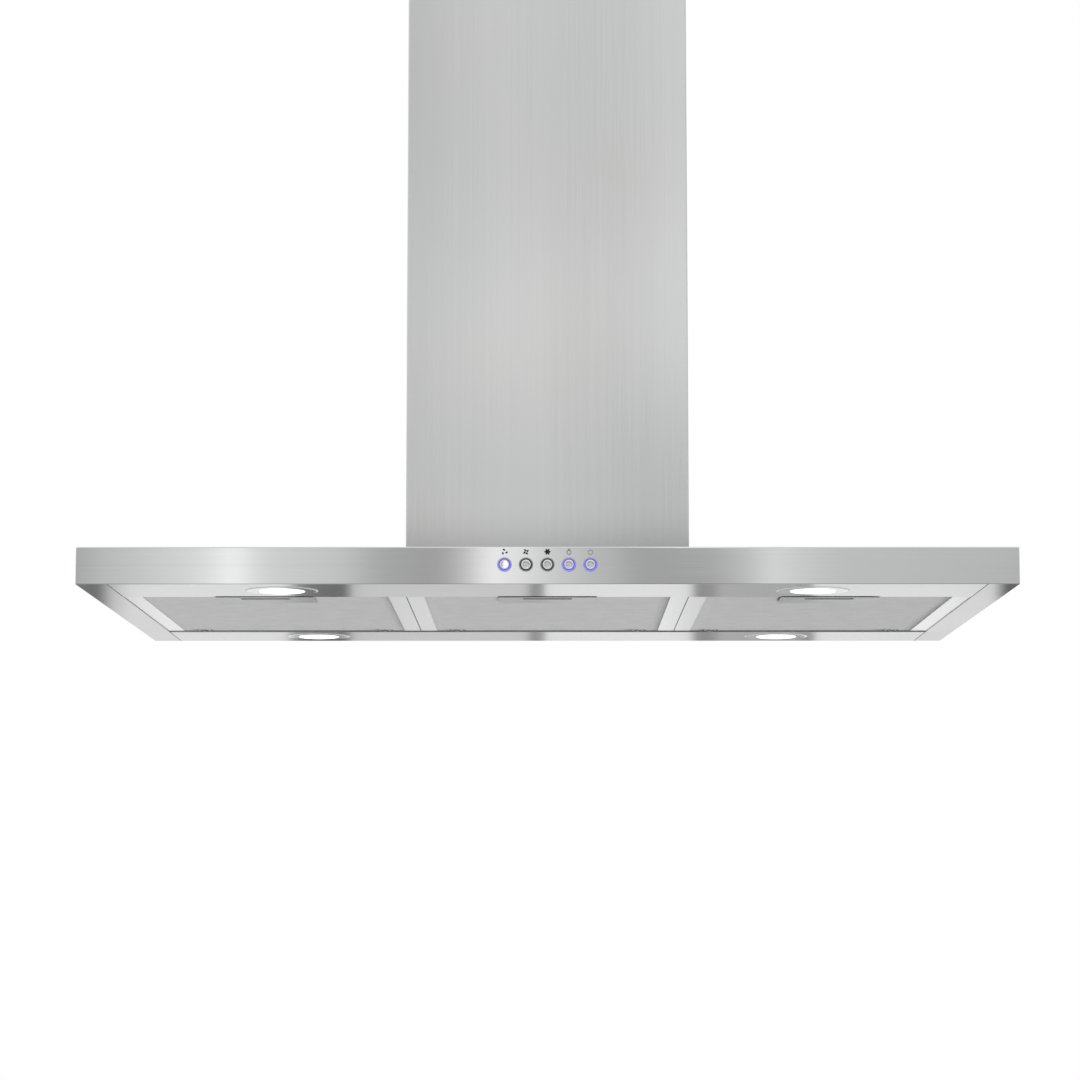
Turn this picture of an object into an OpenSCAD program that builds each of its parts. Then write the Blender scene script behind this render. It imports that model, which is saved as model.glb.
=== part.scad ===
// Island range hood: a slim canopy under a square telescopic chimney that hangs from the ceiling.
// The origin is the centre of the ceiling plate's top face. +Z is up and the front faces -Y.

/* [Canopy] */
// Width of the canopy, left to right
canopy_w = 900; // [860:10:1000]
// Depth of the canopy, front to back
canopy_d = 600; // [590:5:700]
// Height of the canopy's front face
canopy_h = 36; // [36:1:60]
// Thickness of the canopy's sheet steel
sheet = 1; // [0.8:0.1:1.2]
// Width of the fixed flange along each side of the underside
side_flange_w = 29.5; // [25:0.5:40]
// Depth of the front lamp panel
front_panel_d = 117; // [112:1:125]
// Depth of the rear lamp panel
rear_panel_d = 106.4; // [104:0.2:120]
// Gap along each seam of the underside
seam_gap = 0.8; // [0.6:0.1:1.2]

/* [Chimney] */
// Outer width of the lower cover, on both sides of its square
chimney_w = 285; // [285:1:300]
// Thickness of the chimney covers' sheet
cover_sheet = 1; // [0.8:0.1:1]
// Gap between the two covers, on each side
cover_gap = 1.5; // [1.5:0.1:2]
// Length of the lower cover
lower_cover_h = 620; // [500:10:640]
// Length of the upper cover
upper_cover_h = 522; // [500:1:540]

/* [Hanging frame] */
// Height from the canopy's underside to the ceiling
rest_h = 980; // [950:10:1000]
// Width of the ceiling plate, on both sides of its square
plate_w = 264; // [264:1:270]
// Thickness of the ceiling plate
plate_t = 3; // [2:0.5:4]
// Distance between the ceiling bolts, both ways
bolt_pitch = 200; // [190:1:204]
// Diameter of the ceiling bolt holes
bolt_hole_d = 8.5; // [6.5:0.5:9]
// Diameter of the plate's duct opening
duct_hole_d = 160; // [156:1:165]
// Leg width of the angle posts
post_w = 25; // [22:1:28]
// Thickness of the angle posts
post_t = 2; // [1.5:0.5:2]

/* [Filters] */
// Thickness of a grease filter
filter_t = 9; // [8:0.5:12]
// Width of the filter frame's side borders
border_w = 17.5; // [12:0.5:20]
// Width of a filter's latch plate
latch_w = 97.6; // [80:0.2:110]
// Depth of a filter's latch plate
latch_d = 50; // [46:1:60]
// Width of the latch's finger slot
finger_w = 48.4; // [40:0.2:60]
// Depth of the latch's finger slot
finger_d = 14; // [12:1:18]

/* [Lamps and buttons] */
// Outer diameter of a lamp's bezel
bezel_d = 71; // [66:1:76]
// Diameter of a lamp's lens
lens_d = 44; // [36:1:48]
// Distance of the lamps from the middle, to the left and right
lamp_x = 258; // [250:1:270]
// Distance of the lamps from the front and rear edges
lamp_inset = 58; // [56:1:60]
// Distance between neighbouring buttons
button_pitch = 20.5; // [18:0.5:24]
// Height of the button centres above the canopy's underside
button_z = 18.8; // [17:0.2:20]
// Outer diameter of a button's ring light
ring_d = 13.3; // [12:0.1:15]
// Diameter of a button's cap
cap_d = 9.2; // [8:0.1:9.4]

/* [Blower] */
// Outer width of the blower box, on both sides of its square
box_w = 255; // [255:1:256]
// Height of the blower box
box_h = 215; // [210:1:225]
// Outer diameter of the duct collar
collar_d = 149.5; // [148:0.5:150]
// Height of the duct collar above the blower box
collar_h = 64; // [60:1:80]
// Diameter of the fan wheel
impeller_d = 130; // [120:2:132]
// Width of the fan wheel
impeller_w = 76; // [60:2:76]
// Number of fan blades
blades = 32; // [24:1:40]

/* [Hidden] */
$fn = 64;
cut = 1;
z_under = -rest_h;
z_panel = z_under + sheet;
z_top = z_under + canopy_h;
z_box_top = z_top + box_h;
half_w = canopy_w / 2;
half_d = canopy_d / 2;

// Underside: filter bay between the two panels
bay_half = half_w - side_flange_w;
panel_half = bay_half - seam_gap;
y_bay_front = -half_d + front_panel_d;
y_bay_rear = half_d - rear_panel_d;
panel_flange_h = 12;
air_hole_w = 234;
rail_end_gap = 0.5;

// Filters: the rear edge turns on ears of the rear panel
filter_pitch = 2 * bay_half / 3;
filter_w = filter_pitch - seam_gap;
filter_sheet = 0.8;
// The filters lie a little above the panels
filter_recess = 1;
z_filter = z_under + filter_recess;
rear_gap = 3;
y_filter_front = y_bay_front + seam_gap;
y_filter_rear = y_bay_rear - rear_gap;
pivot_inset = 2;
y_pivot = y_filter_rear - pivot_inset;
z_pivot = z_under + 3.5;
pivot_r = 1.5;
pivot_play = 0.06;
ear_r = 3.2;
ear_t = 3;
ear_notch_w = 9;
ear_notch_d = 8;
ear_spacing = 200;
end_lip = 4;
mesh_t = 0.5;
mesh_z = [1.1, 4, 7.5];
notch_w = latch_w + 1;
notch_d = 7;
latch_t = 1;
latch_drop = 0.5;
latch_front_gap = 1;
tongue_w = 30;
tongue_reach = 6.3;
tongue_t = 1.6;
tray_h = 5;
tray_wall = 0.8;
slot_inset = 6;
mesh_tray_gap = 4;
mesh_tray_d = 34;
mesh_tray_h = 6.4;
cheek_t = 2;

// Lamps
lamp_hole_r = 30;
bezel_tube_r = [28.4, 29.8];
bezel_tube_h = 10;
lens_play = 0.2;
housing_r = 28;
housing_h = 22;
groove_z = [13, 16.5, 20];
groove_t = 1.5;
groove_r = 24;

// Buttons
button_count = 5;
z_button = z_under + button_z;
ring_front = 0.8;
ring_depth = 2.4;
cap_front = 2;
cap_play = 0.15;
ring_play = 0.05;
cap_collar = 0.9;
stem_r = 2.5;
stem_end = 10;
switch_half_w = 52;
switch_half_h = 8;
switch_d = 20;
icon_rise = 12.2;
icon_t = 0.15;
lit_buttons = [0, 3, 4];
unlit_buttons = [1, 2];

// Electrics in the canopy
control_x = [80, 215];
control_inset = 10;
control_d = 75;
control_h = 27;
lid_z = 20;
lid_gap = 0.6;
driver_x = [-200, -95];
driver_inset = 14;
driver_d = 46;
driver_h = 22;
driver_foot = 8;

// Frame posts: the lower ones slide inside the upper ones
post_play = 0.3;
lower_post_outer = box_w / 2 + post_t;
upper_post_outer = lower_post_outer + post_play + post_t;
z_lower_post_top = -200;
z_upper_post_end = -430;
clamp_r = 3;
clamp_z = [-215, -245];
slot_top = -100;
slot_end = -412;
clamp_y = upper_post_outer - post_w * 0.6;

// Ceiling plate's hole for the mains cable
cable_hole_y = -107;
cable_hole_r = 9;

// Chimney covers
lower_cover_inner = chimney_w - 2 * cover_sheet;
upper_cover_w = lower_cover_inner - 2 * cover_gap;
bracket_w = 80;
bracket_h = 32;
bracket_t = 1.5;
bracket_x = upper_cover_w / 2 - cover_sheet - 0.5;
bracket_x0 = 100;
bracket_slot_r = 2.3;
cover_end_gap = 0.5;
cover_screw_y = 25;
cover_screw_z = -20;
cover_screw_r = 2;
cover_screw_l = 10;
cover_head_r = 4;
cover_head_h = 1.2;
cover_nut_t = 2;

// Fan scroll, with its shaft along X
fan_y = -40;
fan_z = z_top + 98;
scroll_half_w = 44;
scroll_wall = 2;
scroll_r0 = impeller_d / 2 + 7;
scroll_growth = 28;
scroll_steps = 48;
outlet_y = scroll_r0 * cos(65);
inlet_r = 56;
blade_r = [53.5, 64.3];
motor_r = 36;
motor_x = [-90, -26];
shaft_r = 4;
shaft_play = 0.05;
bearing_r = 9;
bearing_t = 7;
hub_r = 10;
hub_half = 9;
rim_t = 2;
bracket_arm_r = 66;
bracket_arm_w = 10;
bracket_arm_t = 3;
bracket_ring_x = -62;
bracket_ring_l = 10;
bracket_ring_t = 4;
capacitor_r = 15;
capacitor_h = 55;
capacitor_y = 95;
capacitor_drop = 75;

// Damper in the collar
collar_wall = 1.75;
collar_inner_r = collar_d / 2 - collar_wall;
collar_flange_w = 176;
z_flap = z_box_top + 37;
flap_r = collar_inner_r - 1.5;
flap_t = 1.2;
flap_pin_r = 2;
flap_play = 0.05;
knuckle_r = 4;
knuckle_l = 20;
ledge_t = 1.2;
ledge_d = 3;
ledge_gap = 0.1;

// Blower box flange, which also places the lower cover
flange_w = 280;
lip_h = 13;
box_screw_y = 60;
box_screw_x = 133.5;
box_screw_r = 2;
box_screw_l = 6;
box_head_r = 3.5;
box_head_h = 2.4;
gland_xy = -108;
gland_bore_r = 4;
gland_thread_r = 8;
gland_nut_r = 12;
gland_body_h = 15;

// ---- Shared shapes ----

// A box between two opposite corners.
module block(low, high) {
    translate(low) cube(high - low);
}

// An upright square sleeve, centred on the Z axis.
module sleeve(outer_w, wall, z0, z1) {
    a = outer_w / 2;
    b = a - wall;
    difference() {
        block([-a, -a, z0], [a, a, z1]);
        block([-b, -b, z0 - cut], [b, b, z1 + cut]);
    }
}

// Children drawn with local z along +X, local x along +Y and local y along +Z.
module along_x(x = 0, y = 0, z = 0) {
    translate([x, y, z]) rotate([90, 0, 90]) children();
}

// Children drawn with local z pointing out of the front face.
module on_front(x, z) {
    translate([x, -half_d, z]) rotate([90, 0, 0]) children();
}

// Mirrored copies of a +X +Y corner's shape in all four corners.
module each_corner() {
    for (sx = [0, 1], sy = [0, 1]) mirror([sx, 0, 0]) mirror([0, sy, 0]) children();
}

// An upright angle post in the +X +Y corner.
module angle_post(outer, z0, z1) {
    block([outer - post_w, outer - post_t, z0], [outer, outer, z1]);
    block([outer - post_t, outer - post_w, z0], [outer, outer - post_t, z1]);
}

function filter_x(i) = i * filter_pitch;
function button_x(i) = (i - (button_count - 1) / 2) * button_pitch;

// ---- Ceiling frame ----

module ceiling_plate() {
    a = plate_w / 2;
    color("lightgray") difference() {
        block([-a, -a, -plate_t], [a, a, 0]);
        translate([0, 0, -plate_t - cut]) cylinder(d = duct_hole_d, h = plate_t + 2 * cut);
        for (sx = [-1, 1], sy = [-1, 1])
            translate([sx * bolt_pitch / 2, sy * bolt_pitch / 2, -plate_t - cut])
                cylinder(d = bolt_hole_d, h = plate_t + 2 * cut);
        translate([0, cable_hole_y, -plate_t - cut]) cylinder(r = cable_hole_r, h = plate_t + 2 * cut);
    }
}

// Round-ended slot through the leg that faces +X.
module clamp_slot() {
    half = clamp_r + 0.3;
    x0 = upper_post_outer - post_t - cut;
    depth = post_t + 2 * cut;
    block([x0, clamp_y - half, slot_end], [x0 + depth, clamp_y + half, slot_top]);
    for (z = [slot_end, slot_top]) along_x(x0, clamp_y, z) cylinder(r = half, h = depth);
}

module upper_posts() {
    o = upper_post_outer;
    color("lightgray") each_corner() difference() {
        union() {
            angle_post(o, z_upper_post_end, -plate_t);
            // Foot welded under the ceiling plate
            block([o - post_w, o - post_w, -plate_t - post_t], [o - post_t, o - post_t, -plate_t]);
        }
        clamp_slot();
    }
}

module cover_brackets() {
    x1 = bracket_x;
    x0 = x1 - bracket_t;
    y = bracket_w / 2;
    color("lightgray") for (s = [0, 1]) mirror([s, 0, 0]) difference() {
        union() {
            block([bracket_x0, -y, -plate_t - bracket_t], [x1, y, -plate_t]);
            block([x0, -y, -plate_t - bracket_h], [x1, y, -plate_t - bracket_t]);
        }
        // Slots open downward, so that the cover drops with its screws loosened
        for (sy = [-1, 1]) {
            along_x(x0 - cut, sy * cover_screw_y, cover_screw_z)
                cylinder(r = bracket_slot_r, h = bracket_t + 2 * cut);
            translate([x0 - cut, sy * cover_screw_y - bracket_slot_r, -plate_t - bracket_h - cut])
                cube([bracket_t + 2 * cut, 2 * bracket_slot_r, plate_t + bracket_h + cut + cover_screw_z]);
        }
    }
}

module upper_cover() {
    color("silver") difference() {
        sleeve(upper_cover_w, cover_sheet, -upper_cover_h - cover_end_gap, -cover_end_gap);
        for (sy = [-1, 1])
            along_x(-upper_cover_w, sy * cover_screw_y, cover_screw_z)
                cylinder(r = cover_screw_r + 0.1, h = 2 * upper_cover_w);
    }
}

module cover_screws() {
    face = upper_cover_w / 2;
    nut_x = bracket_x - bracket_t - 0.3 - cover_nut_t;
    color("gainsboro") for (s = [0, 1], sy = [-1, 1]) mirror([s, 0, 0]) {
        along_x(face - cover_screw_l, sy * cover_screw_y, cover_screw_z)
            cylinder(r = cover_screw_r, h = cover_screw_l);
        along_x(face, sy * cover_screw_y, cover_screw_z) cylinder(r = cover_head_r, h = cover_head_h);
        along_x(nut_x, sy * cover_screw_y, cover_screw_z) cylinder(r = cover_head_r, h = cover_nut_t);
    }
}

module lower_cover() {
    color("silver") sleeve(chimney_w, cover_sheet, z_top, z_top + lower_cover_h);
}

// ---- Canopy ----

module canopy_shell() {
    w = half_w - sheet;
    d = half_d - sheet;
    a = air_hole_w / 2;
    color("silver") difference() {
        union() {
            difference() {
                block([-half_w, -half_d, z_under], [half_w, half_d, z_top]);
                block([-w, -d, z_under - cut], [w, d, z_top - sheet]);
            }
            // Fixed side flanges of the underside
            for (s = [0, 1]) mirror([s, 0, 0]) block([bay_half, -d, z_under], [w, d, z_panel]);
        }
        // Air opening up to the blower
        block([-a, -a, z_top - sheet - cut], [a, a, z_top + cut]);
        box_screw_holes();
        for (i = [0 : button_count - 1])
            on_front(button_x(i), z_button) translate([0, 0, -sheet - cut])
                cylinder(r = ring_d / 2 + ring_play, h = sheet + 2 * cut);
    }
}

module plenum_rails() {
    d = half_d - sheet - rail_end_gap;
    color("lightgray") for (s = [0, 1]) mirror([s, 0, 0])
        block([bay_half, -d, z_panel], [bay_half + sheet, d, z_top - sheet]);
}

module lamp_holes(y) {
    for (s = [-1, 1])
        translate([s * lamp_x, y, z_under - cut]) cylinder(r = lamp_hole_r, h = sheet + 2 * cut);
}

module front_panel() {
    y0 = -half_d + sheet;
    y1 = y_bay_front;
    color("silver") difference() {
        union() {
            block([-panel_half, y0, z_under], [panel_half, y1, z_panel]);
            block([-panel_half, y1 - sheet, z_panel], [panel_half, y1, z_panel + panel_flange_h]);
        }
        lamp_holes(-half_d + lamp_inset);
        // Notches that the latch tongues reach into
        for (i = [-1 : 1])
            block([filter_x(i) - notch_w / 2, y1 - notch_d, z_under - cut],
                  [filter_x(i) + notch_w / 2, y1 + cut, z_panel + panel_flange_h + cut]);
    }
}

module hinge_ear(x) {
    along_x(x - ear_t / 2, y_pivot, z_pivot) difference() {
        union() {
            cylinder(r = ear_r, h = ear_t);
            translate([0, -ear_r + 0.4, 0]) cube([y_bay_rear - y_pivot, 2 * ear_r - 0.4, ear_t]);
        }
        translate([0, 0, -cut]) cylinder(r = pivot_r + pivot_play, h = ear_t + 2 * cut);
    }
}

module rear_panel() {
    y0 = y_bay_rear;
    y1 = half_d - sheet;
    color("silver") {
        difference() {
            union() {
                block([-panel_half, y0, z_under], [panel_half, y1, z_panel]);
                block([-panel_half, y0, z_panel], [panel_half, y0 + sheet, z_panel + panel_flange_h]);
            }
            lamp_holes(half_d - lamp_inset);
        }
        for (i = [-1 : 1], s = [-1, 1]) hinge_ear(filter_x(i) + s * ear_spacing / 2);
    }
}

// ---- Lamps ----

// sx is -1 for left and 1 for right, and sy is -1 for front and 1 for rear.
module at_lamp(sx, sy) {
    translate([sx * lamp_x, sy * (half_d - lamp_inset), z_under]) children();
}

module lamp_bezel(sx, sy) {
    r = bezel_d / 2;
    n = lens_d / 2 + lens_play;
    t = bezel_tube_r;
    h = bezel_tube_h;
    color("whitesmoke") at_lamp(sx, sy) rotate_extrude()
        polygon([[n, 2], [n, -0.9], [n + 0.8, -1.2], [n + 2, -1], [r - 2.6, -1.2], [r - 1.8, -1.6],
                 [r - 0.9, -1.6], [r - 0.3, -1.1], [r, 0], [t[1], 0], [t[1], h], [t[0], h], [t[0], 2]]);
}

module lamp_lens(sx, sy) {
    color("white") at_lamp(sx, sy) rotate_extrude()
        polygon([[0, 1.5], [0, -2.2], [10, -2.1], [18, -1.7], [lens_d / 2, -1.1], [lens_d / 2, 1.5]]);
}

module lamp_housings() {
    color("dimgray") for (sx = [-1, 1], sy = [-1, 1]) at_lamp(sx, sy) difference() {
        translate([0, 0, 2]) cylinder(r = housing_r, h = housing_h);
        // Cooling grooves
        for (z = groove_z) translate([0, 0, z]) difference() {
            cylinder(r = housing_r + cut, h = groove_t);
            translate([0, 0, -cut]) cylinder(r = groove_r, h = groove_t + 2 * cut);
        }
    }
}

// ---- Buttons ----

module button_ring(i) {
    on_front(button_x(i), z_button) difference() {
        translate([0, 0, -ring_depth]) cylinder(r = ring_d / 2, h = ring_depth + ring_front);
        translate([0, 0, -ring_depth - cut])
            cylinder(r = cap_d / 2 + cap_play, h = ring_depth + ring_front + 2 * cut);
    }
}

module button_rings_lit() {
    color("mediumslateblue") for (i = lit_buttons) button_ring(i);
}

module button_rings_unlit() {
    color("gray") for (i = unlit_buttons) button_ring(i);
}

module button_cap(i) {
    r = cap_d / 2;
    color("whitesmoke") on_front(button_x(i), z_button) {
        translate([0, 0, -2]) cylinder(r = r, h = cap_front + 1.5);
        translate([0, 0, cap_front - 0.5]) cylinder(r1 = r, r2 = r - 0.6, h = 0.5);
        translate([0, 0, -3.8]) cylinder(r = r + cap_collar, h = 1);
        translate([0, 0, -2.8]) cylinder(r = r, h = 0.8);
        translate([0, 0, -stem_end]) cylinder(r = stem_r, h = stem_end - 3.8);
    }
}

module switch_housing() {
    color("dimgray") difference() {
        block([-switch_half_w, -half_d + ring_depth, z_button - switch_half_h],
              [switch_half_w, -half_d + switch_d, z_button + switch_half_h]);
        for (i = [0 : button_count - 1]) on_front(button_x(i), z_button) {
            translate([0, 0, -8]) cylinder(r = cap_d / 2 + cap_collar + 0.4, h = 8);
            translate([0, 0, -stem_end - 4]) cylinder(r = stem_r + 0.1, h = 7);
        }
    }
}

// ---- Pictograms above the buttons, printed on the front face ----

// A pointed blade whose root lies at the centre.
module icon_blade(reach, r, offset_r) {
    translate([0, reach]) intersection() {
        translate([offset_r, 0]) circle(r = r);
        translate([-offset_r, 0]) circle(r = r);
    }
}

module icon(i) {
    on_front(button_x(i), z_button + icon_rise) linear_extrude(icon_t) children();
}

module fan_icons() {
    color("black") {
        // Low speed: three separate blades
        icon(0) for (a = [0 : 120 : 359]) rotate(a + 13) translate([0, 2.1]) rotate(50) scale([0.8, 1.35])
            circle(r = 1);
        // Middle speed: four slim blades
        icon(1) for (a = [0 : 90 : 359]) rotate(a + 25) translate([0, 1.7]) rotate(35)
            icon_blade(0, 2, 1.2);
        // High speed: six broad blades
        icon(2) {
            circle(r = 1.3);
            for (a = [0 : 60 : 359]) rotate(a + 30) icon_blade(1.75, 2, 1.15);
        }
    }
}

module lamp_and_timer_icons() {
    color("gray") {
        // Lamp: bulb outline hanging from its cap
        icon(3) {
            translate([0, -0.5]) difference() {
                circle(r = 2.4);
                circle(r = 1.5);
            }
            translate([-0.9, 1.6]) square([1.8, 1.3]);
        }
        // Timer: open ring with a stroke
        icon(4) {
            translate([0, -0.4]) difference() {
                circle(r = 2.5);
                circle(r = 1.9);
                translate([-0.9, 1]) square([1.8, 2]);
            }
            translate([-0.35, 0.6]) square([0.7, 2.2]);
        }
    }
}

// ---- Electrics in the canopy ----

module control_box() {
    a = control_x[0];
    b = control_x[1];
    y0 = -half_d + control_inset;
    y1 = y0 + control_d;
    z = z_panel + lid_z;
    g = lid_gap;
    color("black") difference() {
        block([a, y0, z_panel], [b, y1, z_panel + control_h]);
        // Joint line of the lid
        difference() {
            block([a - cut, y0 - cut, z], [b + cut, y1 + cut, z + g]);
            block([a + g, y0 + g, z - cut], [b - g, y1 - g, z + g + cut]);
        }
    }
}

module lamp_driver() {
    y0 = -half_d + driver_inset;
    f = driver_foot;
    color("white") {
        block([driver_x[0], y0, z_panel], [driver_x[1], y0 + driver_d, z_panel + driver_h]);
        for (x = [driver_x[0] - f, driver_x[1]])
            block([x, y0 + 14, z_panel], [x + f, y0 + driver_d - 14, z_panel + 3]);
    }
}

// ---- Blower box and posts ----

module box_screw_holes() {
    for (sx = [-1, 1], sy = [-1, 1], p = [[box_screw_x, box_screw_y], [box_screw_y, box_screw_x]])
        translate([sx * p[0], sy * p[1], z_top - sheet - cut])
            cylinder(r = box_screw_r + 0.05, h = 2 * sheet + 2 * cut);
}

module box_screw(x, y) {
    translate([x, y, z_top - box_screw_l]) cylinder(r = box_screw_r, h = box_screw_l + sheet);
    translate([x, y, z_top + sheet]) cylinder(r = box_head_r, h = box_head_h);
}

module box_screws() {
    color("gainsboro") for (sx = [-1, 1], sy = [-1, 1]) {
        box_screw(sx * box_screw_x, sy * box_screw_y);
        box_screw(sx * box_screw_y, sy * box_screw_x);
    }
}

module blower_box() {
    a = box_w / 2;
    f = flange_w / 2;
    color("lightgray") difference() {
        union() {
            sleeve(box_w, sheet, z_top, z_box_top - sheet);
            block([-a, -a, z_box_top - sheet], [a, a, z_box_top]);
            // Flange, with an upturned lip that places the lower cover
            difference() {
                block([-f, -f, z_top], [f, f, z_top + sheet]);
                block([-a + sheet, -a + sheet, z_top - cut], [a - sheet, a - sheet, z_top + sheet + cut]);
            }
            sleeve(flange_w, sheet, z_top + sheet, z_top + sheet + lip_h);
        }
        box_screw_holes();
        translate([0, 0, z_box_top - 2 * sheet]) cylinder(r = collar_inner_r, h = 3 * sheet);
        translate([gland_xy, gland_xy, z_box_top - 2 * sheet])
            cylinder(r = gland_thread_r + 0.1, h = 3 * sheet);
    }
}

module lower_posts() {
    o = lower_post_outer;
    color("lightgray") each_corner() difference() {
        angle_post(o, z_top + sheet, z_lower_post_top);
        for (z = clamp_z)
            along_x(o - post_t - cut, clamp_y, z) cylinder(r = clamp_r + 0.1, h = post_t + 2 * cut);
    }
}

module post_screws() {
    nut_x = lower_post_outer - post_t - 4;
    head_x = upper_post_outer + post_play;
    color("gainsboro") for (z = clamp_z) each_corner() {
        along_x(nut_x, clamp_y, z) cylinder(r = 5.5, h = 4, $fn = 6);
        along_x(nut_x + 4, clamp_y, z) cylinder(r = clamp_r, h = head_x - nut_x - 4);
        along_x(head_x, clamp_y, z) cylinder(r = 5.5, h = 3.6, $fn = 6);
    }
}

// ---- Fan ----

// Outline of the scroll's passage, with the outlet's inner wall at x = wall_y.
function scroll_outline(r0, wall_y, end_z) =
    let (a0 = acos(wall_y / r0))
    concat(
        [for (i = [0 : scroll_steps])
            let (a = a0 + (360 - a0) * i / scroll_steps, r = r0 + scroll_growth * i / scroll_steps)
            [r * cos(a), r * sin(a)]],
        [[r0 + scroll_growth, end_z], [wall_y, end_z]]);

module scroll_half() {
    end_z = z_box_top - sheet - fan_z;
    inside = scroll_outline(scroll_r0, outlet_y, end_z + cut);
    outside = scroll_outline(scroll_r0 + scroll_wall, outlet_y - scroll_wall, end_z);
    difference() {
        along_x(0, fan_y, fan_z) linear_extrude(scroll_half_w) polygon(outside);
        along_x(-cut, fan_y, fan_z) linear_extrude(scroll_half_w - scroll_wall + cut) polygon(inside);
        along_x(0, fan_y, fan_z) cylinder(r = inlet_r, h = scroll_half_w + cut);
    }
}

module scroll_right() {
    color("dimgray") scroll_half();
}

module scroll_left() {
    color("dimgray") mirror([1, 0, 0]) scroll_half();
}

// A forward-curved blade: inner edge first, then back along its other face.
function blade_point(t, side) =
    let (r = blade_r[0] + (blade_r[1] - blade_r[0]) * t, a = 9 * t * t + side)
    [r * cos(a), r * sin(a)];

module impeller() {
    half = impeller_w / 2;
    color("gray") along_x(0, fan_y, fan_z) {
        for (z = [-half, half - rim_t]) translate([0, 0, z]) difference() {
            cylinder(r = impeller_d / 2, h = rim_t);
            translate([0, 0, -cut]) cylinder(r = blade_r[0] - 1, h = rim_t + 2 * cut);
        }
        difference() {
            union() {
                translate([0, 0, -rim_t / 2]) cylinder(r = impeller_d / 2, h = rim_t);
                translate([0, 0, -hub_half]) cylinder(r = hub_r, h = 2 * hub_half);
            }
            translate([0, 0, -hub_half - cut]) cylinder(r = shaft_r, h = 2 * hub_half + 2 * cut);
        }
        for (i = [0 : blades - 1]) rotate(i * 360 / blades) translate([0, 0, -half + 1])
            linear_extrude(impeller_w - 2)
                polygon(concat([for (t = [0 : 0.25 : 1]) blade_point(t, 0)],
                               [for (t = [1 : -0.25 : 0]) blade_point(t, 1.1)]));
    }
}

module motor_shaft() {
    color("gainsboro") along_x(motor_x[0] + 1, fan_y, fan_z)
        cylinder(r = shaft_r, h = hub_half - motor_x[0] - 1);
}

module motor() {
    length = motor_x[1] - motor_x[0];
    color("lightgray") along_x(motor_x[0], fan_y, fan_z) difference() {
        union() {
            cylinder(r = motor_r - 6, h = length);
            translate([0, 0, 8]) cylinder(r = motor_r, h = length - 16);
        }
        translate([0, 0, -cut]) cylinder(r = shaft_r + 0.6, h = length + 2 * cut);
        translate([0, 0, -cut]) cylinder(r = bearing_r, h = bearing_t + 2 + cut);
        translate([0, 0, length - bearing_t - 2]) cylinder(r = bearing_r, h = bearing_t + 2 + cut);
    }
}

module motor_bearings() {
    color("goldenrod") for (x = [motor_x[0] + 2, motor_x[1] - 2 - bearing_t])
        along_x(x, fan_y, fan_z) difference() {
            cylinder(r = bearing_r, h = bearing_t);
            translate([0, 0, -cut]) cylinder(r = shaft_r + shaft_play, h = bearing_t + 2 * cut);
        }
}

module motor_bracket() {
    x0 = bracket_ring_x;
    w = bracket_arm_w;
    foot = 6;
    color("lightgray") along_x(x0, fan_y, fan_z) difference() {
        union() {
            cylinder(r = motor_r + bracket_ring_t, h = bracket_ring_l);
            for (a = [90, 210, 330]) rotate(a) {
                translate([motor_r, -w / 2, 0]) cube([bracket_arm_r - motor_r, w, bracket_arm_t]);
                translate([bracket_arm_r - foot, -w / 2, 0]) cube([foot, w, -x0 - scroll_half_w]);
            }
        }
        translate([0, 0, -cut]) cylinder(r = motor_r, h = bracket_ring_l + 2 * cut);
    }
}

module capacitor() {
    r = capacitor_r;
    x = -box_w / 2 + sheet + r;
    z = z_box_top - capacitor_drop;
    color("white") {
        translate([x, capacitor_y, z]) cylinder(r = r, h = capacitor_h);
        for (s = [-1, 1]) translate([x + s * 5, capacitor_y, z + capacitor_h]) cylinder(r = 1.5, h = 8);
    }
}

// ---- Duct collar and damper ----

module outlet_collar() {
    r = collar_d / 2;
    c = collar_flange_w / 2;
    color("lightgray") difference() {
        union() {
            block([-c, -c, z_box_top], [c, c, z_box_top + 2]);
            translate([0, 0, z_box_top]) cylinder(r = r, h = collar_h);
        }
        difference() {
            translate([0, 0, z_box_top - cut]) cylinder(r = collar_inner_r, h = collar_h + 2 * cut);
            // Ledge that the closed flaps rest on
            translate([0, 0, z_flap - flap_t / 2 - ledge_gap - ledge_t]) difference() {
                cylinder(r = r, h = ledge_t);
                translate([0, 0, -cut]) cylinder(r = collar_inner_r - ledge_d, h = ledge_t + 2 * cut);
            }
        }
        along_x(-collar_d, 0, z_flap) cylinder(r = flap_pin_r, h = 2 * collar_d);
    }
}

module flap_pin() {
    half = collar_d / 2 - 0.5;
    color("gainsboro") along_x(-half, 0, z_flap) cylinder(r = flap_pin_r, h = 2 * half);
}

// The half of the damper on the +Y side, with its knuckles at the given starts along X.
module flap(knuckles) {
    clear = knuckle_r + 0.6;
    difference() {
        union() {
            translate([0, 0, z_flap - flap_t / 2]) intersection() {
                cylinder(r = flap_r, h = flap_t);
                block([-flap_r, clear, -cut], [flap_r, flap_r, flap_t + cut]);
            }
            for (x = knuckles) {
                along_x(x, 0, z_flap) cylinder(r = knuckle_r, h = knuckle_l);
                block([x, 0, z_flap - flap_t / 2], [x + knuckle_l, clear + 0.1, z_flap + flap_t / 2]);
            }
        }
        along_x(-flap_r, 0, z_flap) cylinder(r = flap_pin_r + flap_play, h = 2 * flap_r);
    }
}

module flap_rear() {
    color("lightgray") flap([-62, 10]);
}

module flap_front() {
    color("lightgray") mirror([0, 1, 0]) flap([-30, 42]);
}

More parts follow.
